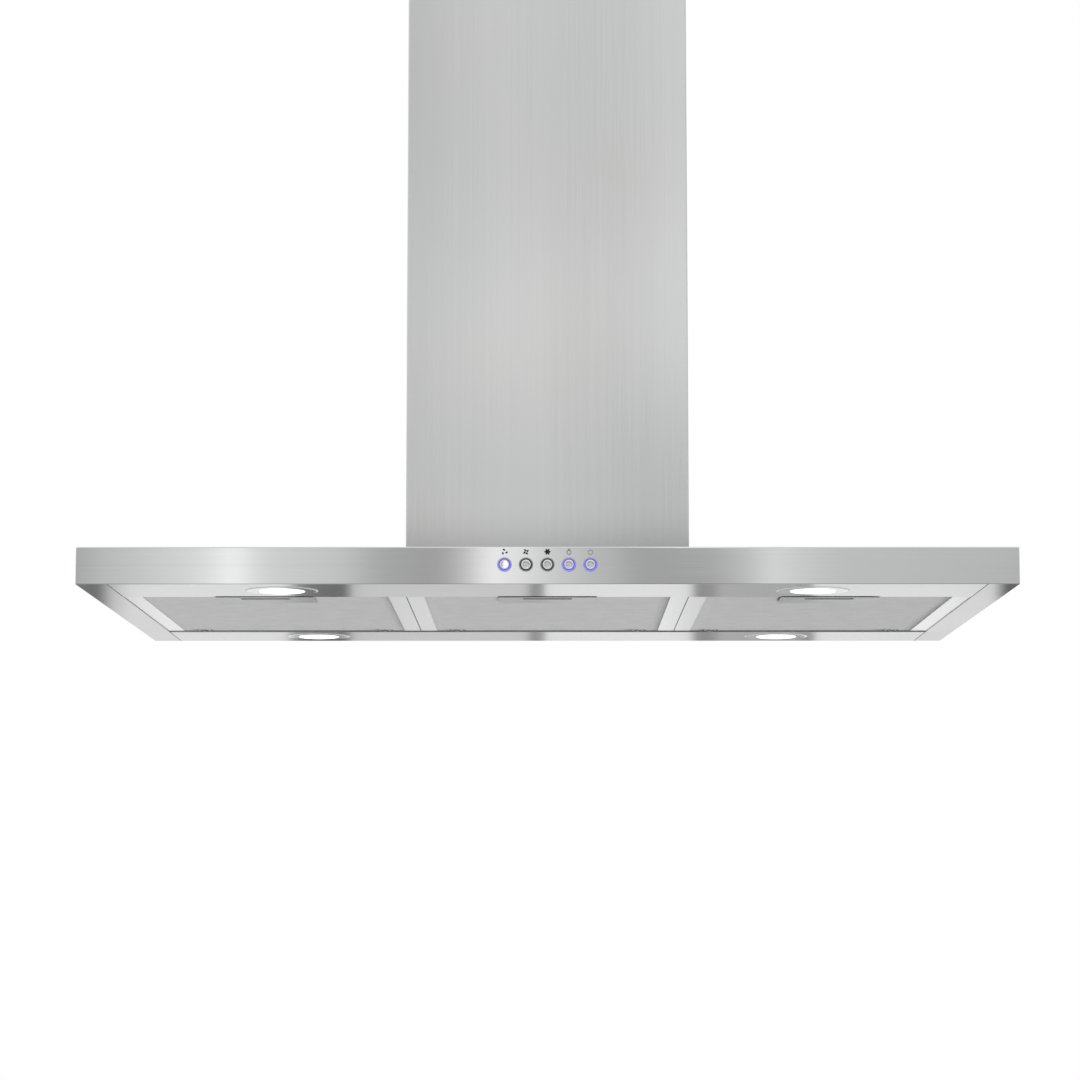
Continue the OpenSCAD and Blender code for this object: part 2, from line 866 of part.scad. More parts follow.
module cable_gland() {
    color("black") translate([gland_xy, gland_xy, z_box_top]) difference() {
        union() {
            translate([0, 0, -9]) cylinder(r = gland_thread_r, h = 10);
            translate([0, 0, -sheet - 4]) cylinder(r = gland_nut_r, h = 4, $fn = 6);
            cylinder(r = gland_nut_r, h = 6, $fn = 6);
            translate([0, 0, 6]) cylinder(r1 = 10, r2 = 7.5, h = gland_body_h - 6);
        }
        translate([0, 0, -10]) cylinder(r = gland_bore_r, h = gland_body_h + 11);
    }
}

// ---- Grease filters ----

module filter_frame(i) {
    a = filter_w / 2;
    z1 = z_filter + filter_t;
    f = filter_sheet;
    y_notch = y_filter_rear - ear_notch_d;
    color("gainsboro") translate([filter_x(i), 0, 0]) {
        difference() {
            block([-a, y_filter_front, z_filter], [a, y_filter_rear, z1]);
            // Channel inside the folded edge, and the window of the mesh
            block([-a + f, y_filter_front + f, z_filter + f], [a - f, y_filter_rear - f, z1 - f]);
            block([-a + border_w, y_filter_front + end_lip, z_under - cut],
                  [a - border_w, y_filter_rear - end_lip, z1 + cut]);
            // Room for the latch
            block([-notch_w / 2, y_filter_front - cut, z_under - cut],
                  [notch_w / 2, y_filter_front + end_lip + cut, z_under + mesh_tray_h]);
            // Notches round the rear panel's ears
            for (s = [-1, 1])
                block([s * ear_spacing / 2 - ear_notch_w / 2, y_notch, z_under - cut],
                      [s * ear_spacing / 2 + ear_notch_w / 2, y_filter_rear + cut, z1 + cut]);
        }
        for (s = [-1, 1]) {
            x = s * ear_spacing / 2;
            // Cheeks beside each notch, and the pivot pin across it
            for (t = [-1, 1])
                translate([x + (t * (ear_notch_w + cheek_t) - cheek_t) / 2, y_notch, z_filter])
                    cube([cheek_t, ear_notch_d, filter_t]);
            along_x(x - (ear_notch_w + cheek_t) / 2, y_pivot, z_pivot)
                cylinder(r = pivot_r, h = ear_notch_w + cheek_t);
        }
    }
}

module filter_mesh(i) {
    a = filter_w / 2 - filter_sheet;
    y0 = y_filter_front + filter_sheet;
    y1 = y_filter_rear - filter_sheet;
    cheek_half = ear_notch_w / 2 + cheek_t + 0.2;
    color("darkgray") translate([filter_x(i), 0, 0]) difference() {
        for (z = mesh_z) block([-a, y0, z_filter + z], [a, y1, z_filter + z + mesh_t]);
        // Room for the latch tray, and for the rear cheeks
        block([-finger_w / 2 - mesh_tray_gap, y0 - cut, z_under],
              [finger_w / 2 + mesh_tray_gap, y0 + mesh_tray_d, z_under + mesh_tray_h]);
        for (s = [-1, 1])
            block([s * ear_spacing / 2 - cheek_half, y1 - ear_notch_d, z_under],
                  [s * ear_spacing / 2 + cheek_half, y1 + cut, z_filter + filter_t]);
    }
}

module filter_latch(i) {
    y0 = y_filter_front + latch_front_gap;
    y_slot = y0 + slot_inset;
    w = finger_w / 2;
    t = tray_wall;
    z_low = z_under - latch_drop;
    z0 = z_low + latch_t;
    color("lightgray") translate([filter_x(i), 0, 0]) {
        difference() {
            union() {
                block([-latch_w / 2, y0, z_low], [latch_w / 2, y0 + latch_d, z0]);
                // Tray above the finger slot
                block([-w - t, y_slot - t, z0], [w + t, y_slot + finger_d + t, z0 + tray_h]);
            }
            block([-w, y_slot, z_low - cut], [w, y_slot + finger_d, z0 + tray_h - t]);
        }
        // Tongue that reaches over the front panel's notch
        block([-tongue_w / 2, y0 - tongue_reach, z0 + tongue_t],
              [tongue_w / 2, y_slot - t, z0 + 2 * tongue_t]);
    }
}

ceiling_plate();
upper_posts();
cover_brackets();
upper_cover();
cover_screws();
lower_cover();
canopy_shell();
plenum_rails();
front_panel();
rear_panel();
lamp_bezel(-1, -1);  // lamp_bezel_front_left
lamp_bezel(1, -1);  // lamp_bezel_front_right
lamp_bezel(-1, 1);  // lamp_bezel_rear_left
lamp_bezel(1, 1);  // lamp_bezel_rear_right
lamp_lens(-1, -1);  // lamp_lens_front_left
lamp_lens(1, -1);  // lamp_lens_front_right
lamp_lens(-1, 1);  // lamp_lens_rear_left
lamp_lens(1, 1);  // lamp_lens_rear_right
lamp_housings();
switch_housing();
button_rings_lit();
button_rings_unlit();
button_cap(0);  // button_cap_1
button_cap(1);  // button_cap_2
button_cap(2);  // button_cap_3
button_cap(3);  // button_cap_4
button_cap(4);  // button_cap_5
fan_icons();
lamp_and_timer_icons();
control_box();
lamp_driver();
blower_box();
box_screws();
lower_posts();
post_screws();
scroll_left();
scroll_right();
impeller();
motor_shaft();
motor();
motor_bearings();
motor_bracket();
capacitor();
outlet_collar();
flap_pin();
flap_front();
flap_rear();
cable_gland();
filter_frame(-1);  // filter_frame_left
filter_frame(0);  // filter_frame_centre
filter_frame(1);  // filter_frame_right
filter_mesh(-1);  // filter_mesh_left
filter_mesh(0);  // filter_mesh_centre
filter_mesh(1);  // filter_mesh_right
filter_latch(-1);  // filter_latch_left
filter_latch(0);  // filter_latch_centre
filter_latch(1);  // filter_latch_right
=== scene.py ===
import math

import bmesh
import bpy
from mathutils import Matrix, Vector


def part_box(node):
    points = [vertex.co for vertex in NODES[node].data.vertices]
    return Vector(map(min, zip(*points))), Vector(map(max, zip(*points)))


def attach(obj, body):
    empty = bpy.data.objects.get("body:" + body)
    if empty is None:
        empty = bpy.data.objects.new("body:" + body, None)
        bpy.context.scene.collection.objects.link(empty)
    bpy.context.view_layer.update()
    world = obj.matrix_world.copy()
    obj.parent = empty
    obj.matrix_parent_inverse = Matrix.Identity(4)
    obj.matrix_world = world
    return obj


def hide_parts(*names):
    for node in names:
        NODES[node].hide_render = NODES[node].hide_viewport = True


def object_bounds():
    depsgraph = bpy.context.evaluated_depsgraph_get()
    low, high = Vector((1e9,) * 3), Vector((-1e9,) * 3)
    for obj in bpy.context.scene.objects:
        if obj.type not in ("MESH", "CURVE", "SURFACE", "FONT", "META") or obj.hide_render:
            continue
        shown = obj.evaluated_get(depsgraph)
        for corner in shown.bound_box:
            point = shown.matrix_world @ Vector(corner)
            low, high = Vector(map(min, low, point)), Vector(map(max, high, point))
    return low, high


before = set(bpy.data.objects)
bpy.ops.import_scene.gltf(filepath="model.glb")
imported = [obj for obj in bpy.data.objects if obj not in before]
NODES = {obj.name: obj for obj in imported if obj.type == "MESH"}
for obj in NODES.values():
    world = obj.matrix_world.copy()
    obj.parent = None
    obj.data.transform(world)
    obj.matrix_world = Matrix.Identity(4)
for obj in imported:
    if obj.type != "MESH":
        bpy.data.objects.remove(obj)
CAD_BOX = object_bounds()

MM = 0.001      # one millimetre in the scene's metres
SIDES = ("left", "centre", "right")
CORNERS = [(depth, side) for depth in ("front", "rear") for side in ("left", "right")]


# ---- Camera ----

CANOPY_LOW, CANOPY_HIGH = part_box("canopy_shell")
CAMERA_AHEAD = 2.892      # in front of the canopy's front face
CAMERA_BELOW = 0.3153     # below its underside
CAMERA_PITCH = math.radians(7.05)
CAMERA_TURN = math.radians(0.141)
CAMERA_LENS = 101.8


def make_camera():
    """The photo's camera: in front of the hood, below it and looking slightly up."""
    data = bpy.data.cameras.new("camera")
    data.sensor_width = 36
    data.lens = CAMERA_LENS
    data.clip_start = 0.05
    data.clip_end = 100
    camera = bpy.data.objects.new("camera", data)
    bpy.context.scene.collection.objects.link(camera)
    camera.location = (0, CANOPY_LOW.y - CAMERA_AHEAD, CANOPY_LOW.z - CAMERA_BELOW)
    camera.rotation_euler = (math.pi / 2 + CAMERA_PITCH, 0, CAMERA_TURN)
    bpy.context.scene.camera = camera


# ---- Studio ----

# Soft bands of light behind the camera, as degrees to the right and brightness, for the canopy's front
FRONT_BANDS = [
    (-13, 0.80), (-9.0, 0.55), (-8.2, 0.86), (-6.9, 1.10), (-6.3, 1.27), (-5.9, 1.92), (-5.4, 1.06),
    (-4.1, 0.95), (-2.9, 0.57), (-1.9, 0.48), (-1.45, 0.74), (-1.05, 1.57), (-0.65, 1.22), (0.3, 0.96),
    (1.0, 0.80), (1.9, 0.50), (2.9, 0.41), (3.6, 0.68), (4.2, 1.18), (4.7, 0.96), (5.7, 0.78), (8.4, 0.73),
    (9.0, 0.66), (13, 0.85),
]
# Higher up behind the camera, for the chimney covers
UPPER_BANDS = [
    (-13, 0.80), (-5, 0.84), (-3.2, 0.74), (-1.9, 0.70), (-1.2, 1.50), (-0.5, 1.42), (0.1, 0.84),
    (1.0, 0.64), (1.8, 0.72), (2.9, 1.52), (4.5, 1.05), (13, 0.85),
]
# The same zone by height, as degrees above the horizon and brightness
UPPER_HEIGHTS = [
    (4, 0.80), (7.6, 0.84), (9.2, 0.92), (10.6, 1.04), (11.4, 1.09), (12.3, 1.01), (13.4, 0.91), (15.5, 0.91),
    (18, 0.96), (26, 0.90),
]
# The far side, which the underside reflects: dark stands between white sheets
REAR_BANDS = [
    (-12, 0.90), (-9.6, 0.45), (-8.9, 0.26), (-8.5, 0.22), (-8.05, 0.84), (-7.8, 0.97), (-5.2, 0.98),
    (-4.95, 0.95), (-4.72, 0.18), (-3.85, 0.15), (-3.62, 0.74), (-0.42, 0.74), (-0.30, 0.30), (-0.12, 0.30),
    (-0.02, 1.0), (2.65, 1.0), (2.85, 0.30), (3.10, 0.34), (3.3, 0.52), (4.7, 0.50), (4.85, 0.26),
    (4.97, 0.3), (5.1, 0.98), (8.3, 0.98), (8.65, 0.16), (9.6, 0.3), (12, 0.90),
]
# Where each zone of the studio fades in and out again, as four angles in degrees
BEHIND_ZONE = (-14, -11, 11, 14)
UPPER_ZONE = (7.5, 10.5, 90, 91)
AHEAD_ZONE = (-13, -11, 11, 13)
OVERHEAD_ZONE = (28, 50, 100, 101)
BELOW_ZONE = (-101, -100, -60, -40)
OVERHEAD_LEVEL = 1.15
BELOW_LEVEL = 0.9


def add_node(tree, kind, inputs=(), **settings):
    """A new node with its settings, and its inputs each linked to a socket or given a value."""
    made = tree.nodes.new(kind)
    for key, value in settings.items():
        setattr(made, key, value)
    for key, value in dict(inputs).items():
        if isinstance(value, bpy.types.NodeSocket):
            tree.links.new(value, made.inputs[key])
        else:
            made.inputs[key].default_value = value
    return made


def band_ramp(tree, degrees, bands):
    """Brightness along a list of bands, for an angle in degrees."""
    low, high = bands[0][0], bands[-1][0]
    at = add_node(tree, "ShaderNodeMapRange", {0: degrees, 1: low, 2: high})
    ramp = add_node(tree, "ShaderNodeValToRGB", {0: at.outputs[0]})
    ramp.color_ramp.interpolation = "EASE"
    stops = ramp.color_ramp.elements
    while len(stops) < len(bands):
        stops.new(0.5)
    for stop, (angle, level) in zip(stops, bands):
        stop.position = (angle - low) / (high - low)
        stop.color = (level, level, level, 1)
    return ramp.outputs[0]


def make_world():
    """White for the camera, and a studio of soft bands for reflections and light."""
    world = bpy.data.worlds.new("studio")
    bpy.context.scene.world = world
    world.use_nodes = True
    tree = world.node_tree
    tree.nodes.clear()

    def calc(operation, a, b=0.0):
        return add_node(tree, "ShaderNodeMath", {0: a, 1: b}, operation=operation).outputs[0]

    def window(value, low_0, low_1, high_0, high_1):
        """Rises from 0 to 1 between the first two angles and falls back between the last two."""
        rise = add_node(tree, "ShaderNodeMapRange", {0: value, 1: low_0, 2: low_1},
                        interpolation_type="SMOOTHSTEP")
        fall = add_node(tree, "ShaderNodeMapRange", {0: value, 1: high_0, 2: high_1, 3: 1, 4: 0},
                        interpolation_type="SMOOTHSTEP")
        return calc("MULTIPLY", rise.outputs[0], fall.outputs[0])

    def mix(factor, a, b):
        return add_node(tree, "ShaderNodeMix", {0: factor, 2: a, 3: b}, data_type="FLOAT").outputs[0]

    direction = add_node(tree, "ShaderNodeTexCoord").outputs["Generated"]
    split = add_node(tree, "ShaderNodeSeparateXYZ", {0: direction})
    x, y, z = split.outputs
    behind = calc("DEGREES", calc("ARCTAN2", x, calc("MULTIPLY", y, -1)))
    ahead = calc("DEGREES", calc("ARCTAN2", x, y))
    height = calc("DEGREES", calc("ARCSINE", z))

    # Broad soft bands all round, for the sides and the back
    flat = add_node(tree, "ShaderNodeVectorMath", {0: direction, 1: (1, 1, 0)}, operation="MULTIPLY")
    unit = add_node(tree, "ShaderNodeVectorMath", {0: flat.outputs[0]}, operation="NORMALIZE")
    drift = add_node(tree, "ShaderNodeTexNoise", {"Vector": unit.outputs[0], "Scale": 5.0, "Detail": 1.5})
    level = add_node(tree, "ShaderNodeMapRange",
                     {0: drift.outputs[0], 1: 0.34, 2: 0.66, 3: 0.52, 4: 1.08}).outputs[0]

    rear = band_ramp(tree, ahead, REAR_BANDS)
    upper = calc("MULTIPLY", band_ramp(tree, behind, UPPER_BANDS), band_ramp(tree, height, UPPER_HEIGHTS))
    front = mix(window(height, *UPPER_ZONE), band_ramp(tree, behind, FRONT_BANDS), upper)
    level = mix(window(behind, *BEHIND_ZONE), level, front)
    level = mix(window(ahead, *AHEAD_ZONE), level, rear)
    # Even light from straight above and below
    level = mix(window(height, *OVERHEAD_ZONE), level, OVERHEAD_LEVEL)
    level = mix(window(height, *BELOW_ZONE), level, BELOW_LEVEL)

    # The camera itself sees plain white
    seen = add_node(tree, "ShaderNodeLightPath").outputs["Is Camera Ray"]
    level = mix(seen, level, 1.0)
    shader = add_node(tree, "ShaderNodeBackground", {"Color": level, "Strength": 1.0})
    out = add_node(tree, "ShaderNodeOutputWorld")
    tree.links.new(shader.outputs[0], out.inputs["Surface"])


# Name, place and width in metres, and power in watts
SOFTBOXES = [
    ("key_softbox", (-3.2, -3.4, 0.9), 3.2, 11),
    ("fill_softbox", (3.6, -2.2, 0.2), 2.8, 7),
    ("back_softbox", (1.2, 3.8, 1.2), 2.8, 7),
    ("top_softbox", (0, -0.3, 3.0), 3.2, 10),
]
AIM_ABOVE = 0.3           # they point at the chimney, this far above the middle of the canopy


def make_lights():
    aim = (CANOPY_LOW + CANOPY_HIGH) / 2 + Vector((0, 0, AIM_ABOVE))
    for name, place, size, power in SOFTBOXES:
        data = bpy.data.lights.new(name, "AREA")
        data.shape = "SQUARE"
        data.size = size
        data.energy = power
        light = bpy.data.objects.new(name, data)
        bpy.context.scene.collection.objects.link(light)
        light.location = place
        light.rotation_euler = (Vector(place) - aim).to_track_quat("Z", "Y").to_euler()


FLOOR_RADIUS = 12
FLOOR_FADE = (4.5, 11.5)  # fades out between these radii
FLOOR_BELOW = 5.5         # below the ceiling plate's top face


def make_floor():
    """A pale round floor far below the hanging hood, fading out softly."""
    mesh = bpy.data.meshes.new("floor")
    bm = bmesh.new()
    bmesh.ops.create_circle(bm, cap_ends=True, segments=96, radius=FLOOR_RADIUS)
    bm.to_mesh(mesh)
    bm.free()
    floor = bpy.data.objects.new("floor", mesh)
    floor.location = (0, 0, CAD_BOX[1].z - FLOOR_BELOW)
    bpy.context.scene.collection.objects.link(floor)
    t = Tree("floor_paint")
    t.set({"Base Color": (0.9, 0.9, 0.89, 1), "Roughness": 0.7})
    distance = t.node("ShaderNodeVectorMath", {0: t.position}, operation="LENGTH").outputs["Value"]
    fade = t.remap(distance, 1, 0, *FLOOR_FADE)
    clear = t.node("ShaderNodeBsdfTransparent")
    blend = t.node("ShaderNodeMixShader", {0: fade, 1: clear.outputs[0], 2: t.shader.outputs[0]})
    t.link(blend.outputs[0], t.out.inputs["Surface"])
    mesh.materials.append(t.material)


# ---- Materials ----

class Tree:
    """The nodes of one material, with its Principled shader as .shader."""

    def __init__(self, name):
        self.material = bpy.data.materials.new(name)
        self.material.use_nodes = True
        self.tree = self.material.node_tree
        self.tree.nodes.clear()
        self.out = self.node("ShaderNodeOutputMaterial")
        self.shader = self.node("ShaderNodeBsdfPrincipled")
        self.link(self.shader.outputs[0], self.out.inputs["Surface"])
        coords = self.node("ShaderNodeTexCoord")
        self.position = coords.outputs["Object"]
        self.normal = coords.outputs["Normal"]

    def node(self, kind, inputs=(), **settings):
        return add_node(self.tree, kind, inputs, **settings)

    def link(self, start, end):
        self.tree.links.new(start, end)

    def set(self, values):
        for key, value in values.items():
            if isinstance(value, bpy.types.NodeSocket):
                self.link(value, self.shader.inputs[key])
            else:
                self.shader.inputs[key].default_value = value

    def calc(self, operation, a, b=0.0):
        return self.node("ShaderNodeMath", {0: a, 1: b}, operation=operation).outputs[0]

    def scaled(self, vector, factors):
        return self.node("ShaderNodeVectorMath", {0: vector, 1: factors}, operation="MULTIPLY").outputs[0]

    def noise(self, vector, scale, detail=2.0, roughness=0.5):
        inputs = {"Vector": vector, "Scale": scale, "Detail": detail, "Roughness": roughness}
        return self.node("ShaderNodeTexNoise", inputs).outputs[0]

    def remap(self, value, low, high, start=0.32, end=0.68):
        """value's start to end becomes low to high."""
        return self.node("ShaderNodeMapRange", {0: value, 1: start, 2: end, 3: low, 4: high}).outputs[0]

    def blend(self, factor, a, b, how="MIX"):
        """Mixes two colours, each given as RGB or as a socket."""
        inputs = {0: factor}
        for key, colour in ((6, a), (7, b)):
            inputs[key] = colour if isinstance(colour, bpy.types.NodeSocket) else (*colour, 1)
        return self.node("ShaderNodeMix", inputs, data_type="RGBA", blend_type=how).outputs[2]

    def radius(self, across):
        """Distance from the piece's own axis, in metres. across is 1 on the two axes that count, else 0."""
        flat = self.scaled(self.position, across)
        return self.node("ShaderNodeVectorMath", {0: flat}, operation="LENGTH").outputs["Value"]

    def bump(self, height, strength, distance, below=None):
        inputs = {"Height": height, "Strength": strength, "Distance": distance}
        if below is not None:
            inputs["Normal"] = below
        return self.node("ShaderNodeBump", inputs).outputs[0]


def shade(colour, factor):
    """A colour made darker or lighter."""
    return tuple(min(1.0, c * factor) for c in colour)


SIDEWAYS = 0.7            # faces whose normal is this far along X count as the object's sides


def brushed(name, colour, roughness, anisotropy=1.0, contrast=1.0, waviness=1.0, along=None, shadow=0.0,
            painted_shade=None):
    """Brushed sheet. The grain is level and runs round the object, or it follows one given axis."""
    t = Tree(name)
    if along is None:
        facing = t.node("ShaderNodeVectorMath", {0: t.normal}, operation="ABSOLUTE").outputs[0]
        to_side = t.node("ShaderNodeSeparateXYZ", {0: facing}).outputs[0]
        grain = t.node("ShaderNodeMix", {0: t.calc("GREATER_THAN", to_side, SIDEWAYS), 4: (1, 0, 0),
                                         5: (0, 1, 0)}, data_type="VECTOR").outputs[1]
    else:
        grain = t.node("ShaderNodeCombineXYZ", dict(enumerate(along))).outputs[0]
    # Noise squeezed along the grain makes long thin lines
    keep = t.node("ShaderNodeVectorMath", {0: (1, 1, 1), 1: grain}, operation="SUBTRACT").outputs[0]
    thin = t.node("ShaderNodeVectorMath", {0: grain, 1: (0.004,) * 3, 2: keep}, operation="MULTIPLY_ADD")
    long = t.node("ShaderNodeVectorMath", {0: grain, 1: (0.05,) * 3, 2: keep}, operation="MULTIPLY_ADD")
    lines = t.scaled(t.position, thin.outputs[0])
    fine = t.noise(lines, 2600, 2)
    middle = t.noise(lines, 430, 3)
    broad = t.noise(t.scaled(t.position, long.outputs[0]), 38, 2)
    clouds = t.noise(t.position, 5, 2)
    streak = t.calc("ADD", t.calc("MULTIPLY", fine, 0.45), t.calc("MULTIPLY", middle, 0.35))
    streak = t.calc("ADD", streak, t.calc("MULTIPLY", broad, 0.2))
    dark, light = shade(colour, 1 - 0.025 * contrast), shade(colour, 1 + 0.02 * contrast)
    tone = t.blend(t.remap(streak, 0, 1, 0.38, 0.62), dark, light)
    tint = t.blend(t.remap(clouds, 0, 1), (1.0, 0.995, 0.985), (0.985, 0.995, 1.0))
    surface = t.blend(1.0, tone, tint, "MULTIPLY")
    if shadow:
        # Soft contact shadow where two sheets meet
        open_share = t.node("ShaderNodeAmbientOcclusion", {"Distance": shadow}, samples=6).outputs["AO"]
        surface = t.blend(t.remap(open_share, 1.0, 0, 0.43, 0.95), surface, shade(colour, 0.55))
    if painted_shade:
        # Painted shade: darker from one place on an axis to another and beyond, at the canopy's lower edge,
        # the hinge ears and knuckles, and inside the latch's recess
        axis, start, end, share = painted_shade
        along_axis = t.node("ShaderNodeSeparateXYZ", {0: t.position}).outputs[axis]
        surface = t.blend(t.remap(along_axis, 0, 1, start, end), surface, shade(colour, share))
    rough = t.calc("ADD", t.remap(fine, roughness - 0.01, roughness + 0.012),
                   t.remap(clouds, -0.006, 0.01))
    waves = t.bump(t.noise(t.position, 3.2, 1), 0.35 * waviness, 0.0012)
    relief = t.bump(streak, 0.02 * contrast, 0.00005, waves)
    across = t.node("ShaderNodeVectorMath", {0: t.normal, 1: grain}, operation="CROSS_PRODUCT").outputs[0]
    tangent = t.node("ShaderNodeVectorTransform", {0: across}, vector_type="VECTOR",
                     convert_from="OBJECT", convert_to="WORLD").outputs[0]
    t.set({"Base Color": surface, "Metallic": 1.0, "Roughness": rough, "Anisotropic": anisotropy,
           "Tangent": tangent, "Normal": relief})
    return t.material


def cast_metal(name, colour, roughness, grain, depth=0.00008, contrast=1.0):
    """Metal with a fine even grain and slightly cloudy gloss."""
    t = Tree(name)
    speck = t.noise(t.position, grain, 3)
    clouds = t.noise(t.position, 45, 3)
    both = t.calc("ADD", t.calc("MULTIPLY", speck, 0.5), t.calc("MULTIPLY", clouds, 0.5))
    t.set({"Base Color": t.blend(t.remap(both, 0, 1), shade(colour, 1 - 0.12 * contrast),
                                 shade(colour, 1 + 0.08 * contrast)),
           "Metallic": 1.0, "Roughness": t.remap(both, roughness - 0.05, roughness + 0.08),
           "Normal": t.bump(speck, 0.25, depth)})
    return t.material


def galvanised(name):
    """Zinc-coated sheet with its large crystal spangle."""
    t = Tree(name)
    wander = t.node("ShaderNodeTexNoise", {"Vector": t.position, "Scale": 60.0}).outputs["Color"]
    bent = t.node("ShaderNodeVectorMath", {0: t.position, 1: wander}, operation="ADD").outputs[0]
    warp = t.node("ShaderNodeMix", {0: 0.02, 4: t.position, 5: bent}, data_type="VECTOR").outputs[1]
    cell = t.node("ShaderNodeTexVoronoi", {"Vector": warp, "Scale": 95.0}, feature="F1")
    value = t.node("ShaderNodeSeparateColor", {0: cell.outputs["Color"]}).outputs[0]
    fine = t.noise(t.position, 700, 2)
    t.set({"Base Color": t.blend(value, (0.47, 0.49, 0.51), (0.66, 0.68, 0.69)), "Metallic": 1.0,
           "Roughness": t.calc("ADD", t.remap(value, 0.30, 0.46, 0, 1), t.remap(fine, -0.03, 0.03)),
           "Normal": t.bump(fine, 0.15, 0.00005)})
    return t.material


def plastic(name, colour, roughness):
    """Moulded plastic with a fine spark-eroded grain."""
    t = Tree(name)
    pits = t.noise(t.position, 1400, 2)
    clouds = t.noise(t.position, 25, 3)
    t.set({"Base Color": t.blend(t.remap(clouds, 0, 1), shade(colour, 0.9), shade(colour, 1.06)),
           "Roughness": t.remap(clouds, roughness - 0.05, roughness + 0.07),
           "Specular IOR Level": 0.45, "Normal": t.bump(pits, 0.35, 0.00006)})
    return t.material


def spun(name, colour, roughness):
    """Turned metal: fine rings round the piece's own upright axis."""
    t = Tree(name)
    turns = t.calc("MULTIPLY", t.radius((1, 1, 0)), 2400)
    rings = t.node("ShaderNodeTexNoise", {"W": turns, "Scale": 1.0, "Detail": 2.0},
                   noise_dimensions="1D").outputs[0]
    specks = t.noise(t.position, 900, 2)
    around = t.node("ShaderNodeTangent", direction_type="RADIAL", axis="Z").outputs[0]
    t.set({"Base Color": t.blend(t.remap(rings, 0, 1), shade(colour, 0.93), shade(colour, 1.05)),
           "Metallic": 1.0, "Roughness": t.remap(specks, roughness - 0.02, roughness + 0.03),
           "Anisotropic": 0.5, "Anisotropic Rotation": 0.25, "Tangent": around,
           "Normal": t.bump(rings, 0.05, 0.00003)})
    return t.material


def hammered(name, colour, level):
    """Button cap: a bright rim round a pebbled middle, with a painted glow of strength level on the middle.
    """
    t = Tree(name)
    inside = t.remap(t.radius((1, 0, 1)), 1, 0, 3.1 * MM, 3.6 * MM)
    pebbles = t.node("ShaderNodeTexVoronoi", {"Vector": t.position, "Scale": 620.0}, feature="SMOOTH_F1")
    dots = t.remap(pebbles.outputs["Distance"], 0, 1, 0.15, 0.65)
    tone = t.blend(t.calc("MULTIPLY", inside, dots), shade(colour, 0.98), shade(colour, 0.5))
    # Painted highlight: the middle glows, strongest on its right side and dim at the left edge
    to_right = t.node("ShaderNodeSeparateXYZ", {0: t.position}).outputs[0]
    lit = t.calc("MULTIPLY", inside, t.remap(to_right, 0.06, 1, -2.4 * MM, 0.4 * MM))
    t.set({"Base Color": tone, "Metallic": 1.0, "Roughness": t.remap(dots, 0.2, 0.34, 0, 1),
           "Emission Color": (1, 0.99, 0.97, 1), "Emission Strength": t.calc("MULTIPLY", lit, level),
           "Normal": t.bump(t.calc("MULTIPLY", dots, inside), 0.8, 0.00025)})
    return t.material


def light_ring(name, colour, light, level):
    """A ring lens in a thin steel rim, lit and brightest at the bottom; the dimmer top is painted shade."""
    t = Tree(name)
    r = t.radius((1, 0, 1))
    lens = t.calc("MULTIPLY", t.remap(r, 0, 1, 4.7 * MM, 5.0 * MM), t.remap(r, 1, 0, 6.0 * MM, 6.4 * MM))
    up = t.node("ShaderNodeSeparateXYZ", {0: t.position}).outputs[2]
    # Painted shade: the ring's light falls off towards its top
    painted_top_shade = t.remap(up, 1.0, 0.25, -3.0 * MM, 6.2 * MM)
    uneven = t.calc("MULTIPLY", painted_top_shade, t.remap(t.noise(t.position, 400), 0.85, 1.1))
    strength = t.calc("MULTIPLY", t.calc("MULTIPLY", lens, uneven), level)
    t.set({"Base Color": t.blend(lens, (0.58, 0.585, 0.59), colour), "Metallic": t.remap(lens, 1, 0, 0, 1),
           "Roughness": t.remap(uneven, 0.32, 0.2, 0.5, 1.0), "Emission Color": (*light, 1),
           "Emission Strength": strength})
    return t.material


LENS_RADIUS = 22          # of a lamp's lens, in mm
BEZEL_HOLE = 22.2         # radius of the bezel's hole round it, in mm


def lens_glass(name):
    """Frosted LED lens: bright middle, pebbled face and a slightly dimmer edge."""
    t = Tree(name)
    edge = t.remap(t.radius((1, 1, 0)), 0, 1, 17 * MM, BEZEL_HOLE * MM)
    pebbles = t.node("ShaderNodeTexVoronoi", {"Vector": t.position, "Scale": 520.0}, feature="SMOOTH_F1")
    t.set({"Base Color": t.blend(edge, (0.95, 0.95, 0.94), (0.82, 0.83, 0.84)),
           "Roughness": t.remap(pebbles.outputs["Distance"], 0.25, 0.45, 0.1, 0.7),
           "Emission Color": t.blend(edge, (1.0, 0.99, 0.97), (0.62, 0.62, 0.63)),
           "Emission Strength": 2.2, "Coat Weight": 0.3,
           "Normal": t.bump(pebbles.outputs["Distance"], 0.4, 0.0003)})
    return t.material


def printed(name, colour):
    """Screen-printed ink with a slightly uneven film."""
    t = Tree(name)
    film = t.noise(t.position, 3500, 3)
    worn = tuple(c + 0.02 for c in colour)
    t.set({"Base Color": t.blend(t.remap(film, 0, 1), shade(colour, 0.85), worn),
           "Roughness": t.remap(film, 0.5, 0.7), "Specular IOR Level": 0.15,
           "Normal": t.bump(film, 0.2, 0.00002)})
    return t.material


REAR_EDGE = 0.1936        # where the rear panel starts; only its hinge ears reach further forward


